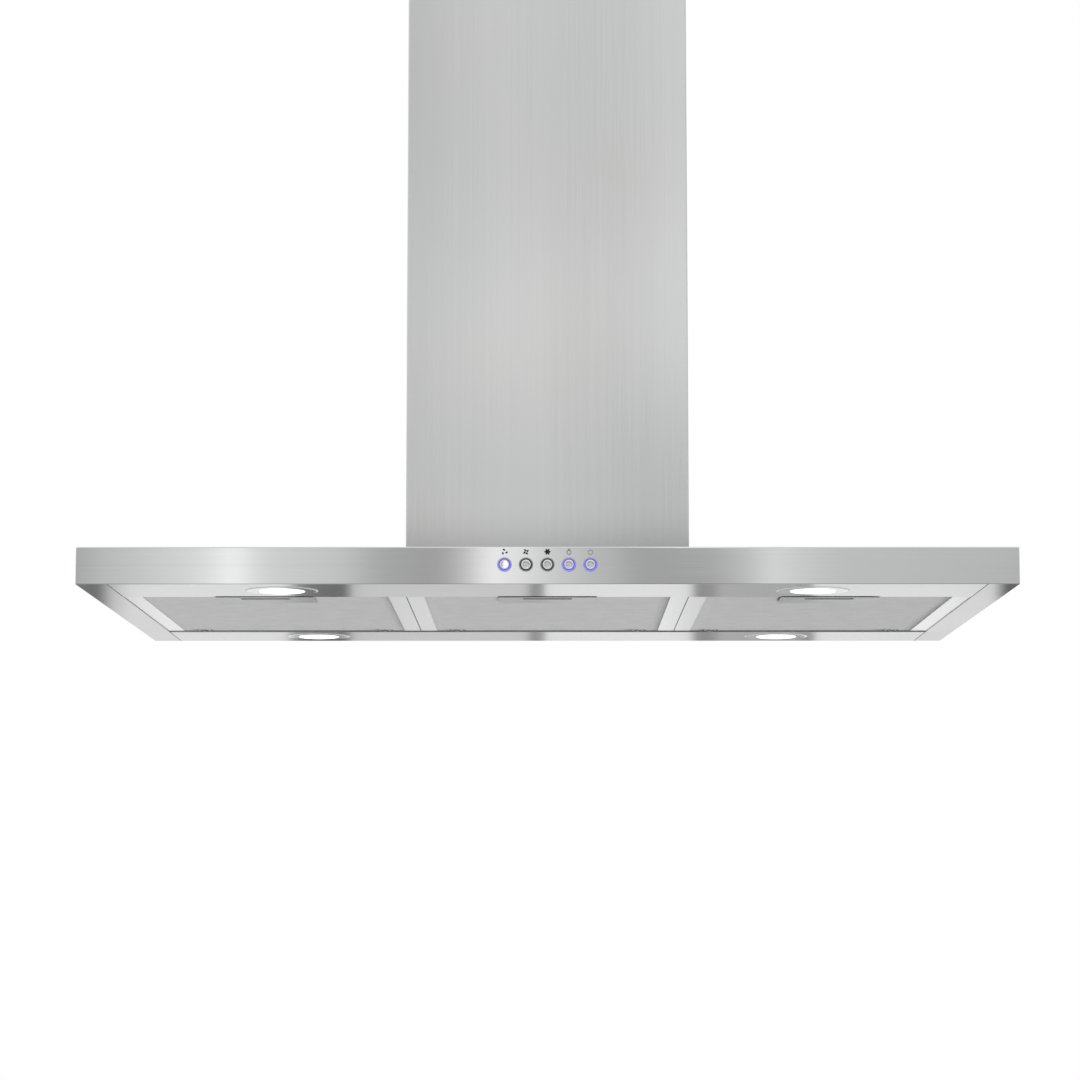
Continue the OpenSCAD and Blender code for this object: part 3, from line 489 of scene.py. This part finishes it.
def make_materials():
    """Every look of the hood, by the name that CAD_LOOKS and the new pieces use."""
    steel = (0.60, 0.605, 0.605)
    alu = (0.74, 0.745, 0.75)
    return {
        "stainless": brushed("stainless_brushed", steel, 0.13, anisotropy=0.3, contrast=0.9,
                             along=(0, 0, 1), shadow=60 * MM),
        # The canopy's lowest half millimetre is darker: a painted shade line where its face meets the
        # underside
        "canopy": brushed("stainless_canopy", steel, 0.09, contrast=0.9,
                          painted_shade=("Z", CANOPY_LOW.z + 0.9 * MM, CANOPY_LOW.z + 0.5 * MM, 0.6)),
        "underside": brushed("stainless_underside", steel, 0.12, contrast=0.7, waviness=0.5),
        # The rear panel's hinge ears, ahead of REAR_EDGE, are darkened: painted shade
        "underside_rear": brushed("stainless_rear", steel, 0.12, contrast=0.7, waviness=0.5,
                                  painted_shade=("Y", REAR_EDGE + 0.2 * MM, REAR_EDGE - 0.2 * MM, 0.3)),
        # The filter frames darken from 8.5 mm ahead of REAR_EDGE rearward, round their hinge knuckles:
        # painted shade
        "frame_alu": brushed("aluminium_satin", alu, 0.2, anisotropy=0.9, contrast=0.8, waviness=0.4,
                             along=(0, 1, 0), painted_shade=("Y", REAR_EDGE - 9.5 * MM, REAR_EDGE - 8.5 * MM, 0.55)),
        # Above 1.4 mm over the canopy's underside, inside its recess, the latch is near black: painted shade
        "latch_alu": brushed("aluminium_latch", shade(alu, 0.58), 0.26, contrast=0.8, waviness=0.2,
                             along=(1, 0, 0),
                             painted_shade=("Z", CANOPY_LOW.z + 0.6 * MM, CANOPY_LOW.z + 1.4 * MM, 0.15)),
        "mesh_alu": cast_metal("aluminium_mesh", (0.555, 0.558, 0.56), 0.36, grain=1800, depth=0.00004),
        "foil": cast_metal("aluminium_foil", (0.56, 0.565, 0.57), 0.42, grain=600, depth=0.0001,
                           contrast=1.2),
        "galvanised": galvanised("galvanised_spangle"),
        "zinc": cast_metal("zinc_plate", (0.66, 0.67, 0.68), 0.28, grain=1200),
        "motor": cast_metal("motor_casing", (0.42, 0.43, 0.45), 0.38, grain=700),
        "bronze": cast_metal("sintered_bronze", (0.62, 0.43, 0.22), 0.36, grain=2500),
        "chrome": spun("chrome_ring", (0.60, 0.605, 0.61), 0.11),
        "black": plastic("black_moulded", (0.025, 0.026, 0.028), 0.42),
        "white": plastic("white_moulded", (0.72, 0.72, 0.70), 0.36),
        "grey": plastic("grey_moulded", (0.20, 0.205, 0.21), 0.40),
        "lens": lens_glass("led_lens"),
        "blue": light_ring("ring_blue", (0.16, 0.15, 0.42), (0.075, 0.05, 0.85), 1.0),
        "ring_off": light_ring("ring_unlit", (0.045, 0.046, 0.05), (0, 0, 0), 0.0),
        "cap_metal": hammered("cap_metal", alu, 0.0),
        "cap_lit": hammered("cap_lit", (0.70, 0.705, 0.71), 0.7),
        "ink": printed("ink_black", (0.006, 0.006, 0.006)),
        "ink_grey": printed("ink_grey", (0.22, 0.225, 0.23)),
    }


CAD_LOOKS = {
    "stainless": ["lower_cover", "upper_cover"],
    "canopy": ["canopy_shell"],
    "underside": ["front_panel"],
    "underside_rear": ["rear_panel"],
    "galvanised": ["ceiling_plate", "upper_posts", "cover_brackets", "plenum_rails", "blower_box",
                   "lower_posts", "outlet_collar", "motor_bracket", "flap_front", "flap_rear"],
    "zinc": ["box_screws", "post_screws", "cover_screws", "flap_pin", "motor_shaft"],
    "motor": ["motor"],
    "bronze": ["motor_bearings"],
    "grey": ["scroll_left", "scroll_right", "lamp_housings", "switch_housing"],
    "black": ["control_box", "cable_gland", "impeller"],
    "white": ["lamp_driver", "capacitor"],
    "ink": ["fan_icons"],
    "ink_grey": ["lamp_and_timer_icons"],
    "frame_alu": [f"filter_frame_{s}" for s in SIDES],
    "latch_alu": [f"filter_latch_{s}" for s in SIDES],
    "mesh_alu": [f"filter_mesh_{s}" for s in SIDES],
    "chrome": [f"lamp_bezel_{d}_{s}" for d, s in CORNERS],
    "lens": [f"lamp_lens_{d}_{s}" for d, s in CORNERS],
    "blue": ["button_rings_lit"],
    "ring_off": ["button_rings_unlit"],
    "cap_metal": [f"button_cap_{i}" for i in range(2, 6)],
    "cap_lit": ["button_cap_1"],
}


def dress_cad_nodes():
    """Gives every CAD node its material, the replaced ones too."""
    for look, names in CAD_LOOKS.items():
        for name in names:
            mesh = NODES[name].data
            mesh.materials.clear()
            mesh.materials.append(MATERIALS[look])


# ---- Rounded edges on the sheet metal and the moulded parts ----

INNER_SHARE = 0.2                     # bevel of ordinary edges, as a share of the outer bends
SHARP_ANGLE = math.radians(35)        # edges that turn more than this are rounded
FLAT_ANGLE = math.radians(0.6)        # faces that meet at less than this are merged into one
WELD_GAP = 0.005 * MM
ON_SIDE = 0.1 * MM                    # an edge this close to a side of the node's box lies on it


def geometry_group(name):
    """An empty group that takes and gives geometry, with its two end nodes."""
    group = bpy.data.node_groups.new(name, "GeometryNodeTree")
    group.interface.new_socket("Geometry", in_out="INPUT", socket_type="NodeSocketGeometry")
    group.interface.new_socket("Geometry", in_out="OUTPUT", socket_type="NodeSocketGeometry")
    return group, group.nodes.new("NodeGroupInput"), group.nodes.new("NodeGroupOutput")


def smooth_group():
    """Shades every face smooth, for the weighted normals that come after it."""
    group, start, end = geometry_group("shade_smooth")
    smooth = group.nodes.new("GeometryNodeSetShadeSmooth")
    group.links.new(start.outputs[0], smooth.inputs[0])
    group.links.new(smooth.outputs[0], end.inputs[0])
    return group


def bend_group(name, corner_share, top_share):
    """Marks sharp edges for the bevel: upright outer corners, top rims, and the rest by INNER_SHARE."""
    group, start, end = geometry_group(name)

    def field(kind, inputs=(), **settings):
        return add_node(group, kind, inputs, **settings)

    def calc(operation, a, b):
        return field("ShaderNodeMath", {0: a, 1: b}, operation=operation).outputs[0]

    box = field("GeometryNodeBoundBox", {0: start.outputs[0]})
    place = field("GeometryNodeInputPosition").outputs[0]
    gaps = []
    for side in ("Min", "Max"):
        off = field("ShaderNodeVectorMath", {0: place, 1: box.outputs[side]}, operation="SUBTRACT")
        gaps.append(field("ShaderNodeVectorMath", {0: off.outputs[0]}, operation="ABSOLUTE").outputs[0])
    near = field("ShaderNodeVectorMath", {0: gaps[0], 1: gaps[1]}, operation="MINIMUM")
    across, along, _ = field("ShaderNodeSeparateXYZ", {0: near.outputs[0]}).outputs
    to_top = field("ShaderNodeSeparateXYZ", {0: gaps[1]}).outputs[2]
    on_x, on_y, on_top = (calc("LESS_THAN", gap, ON_SIDE) for gap in (across, along, to_top))
    corner = calc("MULTIPLY", calc("MINIMUM", on_x, on_y), corner_share)
    rim = calc("MULTIPLY", calc("MINIMUM", on_top, calc("MAXIMUM", on_x, on_y)), top_share)
    share = calc("MAXIMUM", calc("MAXIMUM", corner, rim), INNER_SHARE)
    angle = field("GeometryNodeInputMeshEdgeAngle").outputs[0]
    weight = calc("MULTIPLY", calc("GREATER_THAN", angle, SHARP_ANGLE), share)
    store = field("GeometryNodeStoreNamedAttribute",
                  {"Geometry": start.outputs[0], "Name": "bevel_weight_edge", "Value": weight},
                  data_type="FLOAT", domain="EDGE")
    group.links.new(store.outputs[0], end.inputs[0])
    return group


def round_edges(names, width, segments, bends):
    """Modifiers that give CAD nodes rounded, evenly shaded edges. Their own meshes stay as they are."""
    for name in names:
        stack = NODES[name].modifiers
        weld = stack.new("weld", "WELD")
        weld.merge_threshold = WELD_GAP
        flat = stack.new("merge_flats", "DECIMATE")
        flat.decimate_type = "DISSOLVE"
        flat.angle_limit = FLAT_ANGLE
        if bends:
            stack.new("mark_bends", "NODES").node_group = bends
        bevel = stack.new("round_edges", "BEVEL")
        bevel.width = width * MM
        bevel.segments = segments
        bevel.limit_method = "WEIGHT" if bends else "ANGLE"
        bevel.angle_limit = SHARP_ANGLE
        bevel.use_clamp_overlap = not bends
        stack.new("smooth", "NODES").node_group = GROUPS["smooth"]
        shading = stack.new("even_shading", "WEIGHTED_NORMAL")
        shading.weight = 80


# Width of the rounding in mm, its segments, the nodes, and the group in GROUPS that marks their edges
EDGE_WIDTHS = [
    (1.4, 5, ["canopy_shell"], "bends_top"),
    (1.2, 5, ["lower_cover", "upper_cover"], "bends"),
    (0.3, 2, ["front_panel", "rear_panel", "plenum_rails", "ceiling_plate", "upper_posts", "lower_posts",
              "cover_brackets", "blower_box", "outlet_collar", "motor_bracket"], None),
    (0.3, 2, [f"filter_frame_{s}" for s in SIDES] + [f"filter_latch_{s}" for s in SIDES], None),
    (0.5, 2, ["scroll_left", "scroll_right", "lamp_housings", "switch_housing", "motor",
              "cable_gland"], None),
    (0.25, 2, ["control_box", "lamp_driver", "capacitor", "cover_screws", "post_screws", "box_screws",
               "motor_bearings", "motor_shaft", "flap_pin", "flap_front", "flap_rear"], None),
]


# ---- New pieces ----

def finished_mesh(name, bm):
    mesh = bpy.data.meshes.new(name)
    bmesh.ops.recalc_face_normals(bm, faces=bm.faces)
    bm.to_mesh(mesh)
    bm.free()
    return mesh


def place_piece(name, mesh, material, body, replaced, place):
    """Puts a mesh in the scene, in its place and on its body, instead of the CAD nodes it replaces."""
    # The three filters share their meshes, so the material may be there already
    if not mesh.materials:
        mesh.materials.append(material)
    piece = bpy.data.objects.new(name, mesh)
    bpy.context.scene.collection.objects.link(piece)
    piece.matrix_world = place
    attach(piece, body)
    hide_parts(*replaced)


def rounded(points, radius, steps=3):
    """A closed outline with its corners rounded by up to radius, except those on the axis."""
    result = []
    count = len(points)
    for i, point in enumerate(points):
        p = Vector(point)
        back, ahead = Vector(points[i - 1]) - p, Vector(points[(i + 1) % count]) - p
        if p.x == 0:
            result.append(p)
            continue
        reach = min(radius, back.length * 0.45, ahead.length * 0.45)
        a, b = p + back.normalized() * reach, p + ahead.normalized() * reach
        for k in range(steps + 1):
            s = k / steps
            result.append(a * (1 - s) ** 2 + p * 2 * s * (1 - s) + b * s ** 2)
    return result


def turned(outline, segments, turn=Matrix.Identity(4)):
    """A closed (radius, height) outline, in mm, turned round Z. Points on the axis become one vertex."""
    bm = bmesh.new()
    rings = []
    for radius, height in outline:
        if radius < 1e-6:
            rings.append([bm.verts.new(turn @ Vector((0, 0, height * MM)))])
            continue
        ring = []
        for k in range(segments):
            a = 2 * math.pi * k / segments
            place = Vector((radius * MM * math.cos(a), radius * MM * math.sin(a), height * MM))
            ring.append(bm.verts.new(turn @ place))
        rings.append(ring)
    count = len(rings)
    for i in range(count):
        a, b = rings[i], rings[(i + 1) % count]
        if len(a) == 1 and len(b) == 1:
            continue
        for k in range(segments):
            n = (k + 1) % segments
            if len(a) == 1:
                face = (a[0], b[k], b[n])
            elif len(b) == 1:
                face = (a[k], b[0], a[n])
            else:
                face = (a[k], b[k], b[n], a[n])
            bm.faces.new(face).smooth = True
    return bm


BEZEL_SLEEVE = (28.4, 29.8, 10)       # inner radius, outer radius and height, inside the panel's hole
LENS_RINGS = 44
LENS_RIPPLES = (4, 20.5)              # the radii between which the lens's face is rippled


def bezel_outline(r):
    """A shallow bell from the lens's hole out to radius r, with a sleeve that goes up into the panel."""
    n = BEZEL_HOLE
    inner, outer, height = BEZEL_SLEEVE
    return [(n, 2), (n, -0.55), (n + 0.4, -0.7), (n + 1.0, -0.72), (n + 2.0, -0.68),
            (r - 3.0, -0.62), (r - 1.6, -0.56), (r - 0.8, -0.46), (r - 0.3, -0.3),
            (r - 0.05, -0.12), (r - 0.05, -0.02), (outer, -0.02),
            (outer, height), (inner, height), (inner, 2)]


def lens_outline():
    """A domed face with fine round ripples, and a flat back."""
    face = [(0, -2.2)]
    for k in range(1, LENS_RINGS + 1):
        radius = LENS_RADIUS * k / LENS_RINGS
        fall = 1.1 * (radius / LENS_RADIUS) ** 2.2
        ripple = 0.045 * math.cos(radius * 2.6) if LENS_RIPPLES[0] < radius < LENS_RIPPLES[1] else 0
        face.append((radius, -2.16 + fall + ripple))
    return face + [(LENS_RADIUS, 1.5), (0, 1.5)]


def make_lamps():
    """Four bezels and lenses, in the middle of the CAD bezels and level with the canopy's lower edge."""
    for depth, side in CORNERS:
        where = f"{depth}_{side}"
        low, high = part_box(f"lamp_bezel_{where}")
        centre = (low + high) / 2
        place = Matrix.Translation((centre.x, centre.y, CANOPY_LOW.z))
        outline = rounded(bezel_outline((high.x - low.x) / 2 / MM), 0.5)
        bezel = finished_mesh(f"bezel_{where}", turned(outline, 112))
        place_piece(f"bezel_{where}", bezel, MATERIALS["chrome"], "hood",
                    [f"lamp_bezel_{where}"], place)
        lens = finished_mesh(f"lens_{where}", turned(lens_outline(), 96))
        place_piece(f"lens_{where}", lens, MATERIALS["lens"], "hood",
                    [f"lamp_lens_{where}"], place)


FACE_OUT = Matrix.Rotation(math.pi / 2, 4, "X")   # the outlines' height points out of the front face

# As (radius, height out of the front face) in mm
CAP_OUTLINE = [
    (0, 1.45), (1.2, 1.47), (2.4, 1.56), (3.1, 1.72), (3.4, 1.95), (3.6, 2.0), (3.9, 2.0), (4.4, 1.7),
    (4.6, 1.3), (4.6, -2.8), (5.5, -2.8), (5.5, -3.8), (2.5, -3.8), (2.5, -10), (0, -10),
]
RING_OUTLINE = [
    (4.76, -2.4), (6.65, -2.4), (6.65, 0.05), (6.4, 0.38), (5.95, 0.68), (5.45, 0.8), (5.0, 0.66),
    (4.76, 0.25),
]


def button_place(i):
    """The middle of a button, on the canopy's front face."""
    low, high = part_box(f"button_cap_{i}")
    return Matrix.Translation(((low.x + high.x) / 2, CANOPY_LOW.y, (low.z + high.z) / 2))


def make_buttons():
    """Five caps, and the rings round them. The first, fourth and fifth rings are lit."""
    for i in range(1, 6):
        cap = finished_mesh(f"cap_{i}", turned(rounded(CAP_OUTLINE, 0.25), 64, FACE_OUT))
        # The first cap carries a painted glow
        look = "cap_lit" if i == 1 else "cap_metal"
        place_piece(f"cap_{i}", cap, MATERIALS[look], f"button_{i}", [f"button_cap_{i}"],
                    button_place(i))
    for buttons, look, slot, node in [
        ((1, 4, 5), "blue", "ring_light", "button_rings_lit"),
        ((2, 3), "ring_off", "ring_dark", "button_rings_unlit"),
    ]:
        for i in buttons:
            ring = finished_mesh(f"ring_{i}", turned(rounded(RING_OUTLINE, 0.2), 72, FACE_OUT))
            place_piece(f"ring_{i}", ring, MATERIALS[look], "hood", [node], button_place(i))


def clear_runs(start, step, count, blocked):
    """Stretches of a wire, as step numbers, that lie outside the blocked boxes."""
    runs, begin = [], None
    for k in range(count + 1):
        x, y = start[0] + step[0] * k, start[1] + step[1] * k
        inside = any(a <= x <= b and c <= y <= d for a, b, c, d in blocked)
        if inside and begin is not None:
            runs.append((begin, k - 1))
            begin = None
        elif not inside and begin is None:
            begin = k
    if begin is not None:
        runs.append((begin, count))
    return [run for run in runs if run[1] > run[0]]


CHECK_STEP = 1.5          # mm between a wire's checks against the blocked boxes
SECTION_STEPS = 10        # such steps from one cross-section of a wire to the next
WIRE_SECTION = [(-0.5, 0.0), (-0.28, -0.5), (0.28, -0.5), (0.5, 0.0), (0.28, 0.5), (-0.28, 0.5)]


def lattice_layer(low, high, z, pitch, width, thick, wave, blocked):
    """A rhombic mesh: flattened wires in two directions, one lying on the other. Sizes in mm."""
    bm = bmesh.new()
    wide, deep = high[0] - low[0], high[1] - low[1]
    length = math.hypot(*pitch)
    for level, slant in enumerate((1, -1)):
        run_x, run_y = pitch[0] / length, slant * pitch[1] / length
        side = Vector((-run_y, run_x))
        drop = wide * pitch[1] / pitch[0]
        first = low[1] - (drop if slant > 0 else 0)
        for n in range(1, int((deep + drop) / pitch[1])):
            y_start = first + n * pitch[1]
            # Where this wire enters and leaves the window
            ends = sorted(((low[1] - y_start) / run_y, (high[1] - y_start) / run_y))
            enter, leave = max(0.0, ends[0]), min(wide / run_x, ends[1])
            if leave - enter < 3 * CHECK_STEP:
                continue
            count = int((leave - enter) / CHECK_STEP)
            start = (low[0] + run_x * enter, y_start + run_y * enter)
            step = ((leave - enter) / count * run_x, (leave - enter) / count * run_y)
            for a, b in clear_runs(start, step, count, blocked):
                pieces = max(1, (b - a) // SECTION_STEPS)
                rings = []
                for i in range(pieces + 1):
                    k = a + (b - a) * i / pieces
                    x, y = start[0] + step[0] * k, start[1] + step[1] * k
                    h = z + level * thick * 0.8 + wave * math.sin(x * 0.21 + 1.3 * math.sin(y * 0.07 + level))
                    rings.append([bm.verts.new(((x + side.x * u * width) * MM, (y + side.y * u * width) * MM,
                                                (h + v * thick) * MM)) for u, v in WIRE_SECTION])
                for one, two in zip(rings, rings[1:]):
                    for k in range(6):
                        bm.faces.new((one[k], one[(k + 1) % 6], two[(k + 1) % 6], two[k])).smooth = True
                bm.faces.new(rings[0])
                bm.faces.new(rings[-1][::-1])
    return bm


def foil_layer(low, high, z, wave, period, thick, blocked):
    """A crumpled, corrugated foil, to lie between the two lattices. Sizes in mm."""
    bm = bmesh.new()
    columns, rows = 56, 150
    step_x, step_y = (high[0] - low[0]) / columns, (high[1] - low[1]) / rows

    def vertex(i, j, d):
        x, y = low[0] + i * step_x, low[1] + j * step_y
        h = z + wave * math.sin(2 * math.pi * y / period + 0.6 * math.sin(x / 9.0))
        h += 0.25 * wave * math.sin(x * 0.9 + 1.7 * math.sin(y / 13.0))
        return bm.verts.new((x * MM, y * MM, (h + d) * MM))

    sheets = [[[vertex(i, j, d) for j in range(rows + 1)] for i in range(columns + 1)] for d in (0, thick)]
    kept, edges = set(), {}
    for i in range(columns):
        for j in range(rows):
            x, y = low[0] + (i + 0.5) * step_x, low[1] + (j + 0.5) * step_y
            if not any(a <= x <= b and c <= y <= d for a, b, c, d in blocked):
                kept.add((i, j))
    for i, j in kept:
        square = [(i, j), (i + 1, j), (i + 1, j + 1), (i, j + 1)]
        under = [sheets[0][a][b] for a, b in square]
        over = [sheets[1][a][b] for a, b in square]
        bm.faces.new(under[::-1]).smooth = True
        bm.faces.new(over).smooth = True
        for k in range(4):
            n = (k + 1) % 4
            edge = tuple(sorted((square[k], square[n])))
            edges[edge] = None if edge in edges else (under[k], under[n], over[n], over[k])
    for sides in edges.values():
        if sides:
            bm.faces.new(sides)
    bmesh.ops.delete(bm, geom=[v for v in bm.verts if not v.link_faces], context="VERTS")
    return bm


# In mm, from the CAD mesh's sides and from its front and rear ends
LATTICE_INSET = (13, 0.6)
FOIL_INSET = (12, 0.8)
# Where the layers leave room, in mm
LATCH_TRAY = (29.5, 35.5)             # half width, and depth from the front end
HINGE_EARS = (100, 8, 9.5)            # distance from the middle, half width, and depth from the rear end


def make_filter_meshes():
    """A fine lattice, a foil and a coarse lattice for each filter, shaped on the centre one."""
    frame_low, frame_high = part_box("filter_frame_centre")
    mesh_low, mesh_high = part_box("filter_mesh_centre")
    middle = (frame_low.x + frame_high.x) / 2
    half = (mesh_high.x - mesh_low.x) / 2 / MM
    y0, y1 = mesh_low.y / MM, mesh_high.y / MM
    under = frame_low.z / MM
    half_tray, tray_depth = LATCH_TRAY
    tray = (-half_tray, half_tray, y0 - 1, y0 + tray_depth)
    ear_at, half_ear, ear_depth = HINGE_EARS
    ears = [(s * ear_at - half_ear, s * ear_at + half_ear, y1 - ear_depth, y1 + 1) for s in (-1, 1)]

    def window(inset):
        x, y = inset
        return (-half + x, y0 + y), (half - x, y1 - y)

    front = lattice_layer(*window(LATTICE_INSET), z=under + 0.8, pitch=(4.8, 2.4), width=0.8, thick=0.45,
                          wave=0.06, blocked=[tray] + ears)
    foil = foil_layer(*window(FOIL_INSET), z=under + 4.3, wave=1.0, period=6, thick=0.3,
                      blocked=[tray] + ears)
    back = lattice_layer(*window(LATTICE_INSET), z=under + 7.1, pitch=(9, 4.5), width=1.2, thick=0.5,
                         wave=0.08, blocked=ears)
    layers = [
        ("mesh_front", finished_mesh("filter_front_mesh", front), "mesh_alu"),
        ("mesh_foil", finished_mesh("filter_foil", foil), "foil"),
        ("mesh_back", finished_mesh("filter_back_mesh", back), "mesh_alu"),
    ]
    for side in SIDES:
        low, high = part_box(f"filter_frame_{side}")
        place = Matrix.Translation(((low.x + high.x) / 2 - middle, 0, 0))
        for name, mesh, look in layers:
            place_piece(f"{name}_{side}", mesh, MATERIALS[look], f"filter_{side}",
                        [f"filter_mesh_{side}"], place)


def set_view():
    """Colours as they are, with no film curve."""
    view = bpy.context.scene.view_settings
    view.view_transform = "Standard"
    view.look = "None"


make_camera()
make_world()
make_lights()
make_floor()
MATERIALS = make_materials()
dress_cad_nodes()
GROUPS = {
    "smooth": smooth_group(),
    "bends": bend_group("mark_bends", 1.0, 0.0),
    "bends_top": bend_group("mark_bends_and_top", 0.4, 1.0),
}
for edge_width, edge_segments, edge_nodes, edge_bends in EDGE_WIDTHS:
    round_edges(edge_nodes, edge_width, edge_segments, GROUPS.get(edge_bends))
make_lamps()
make_buttons()
make_filter_meshes()
set_view()
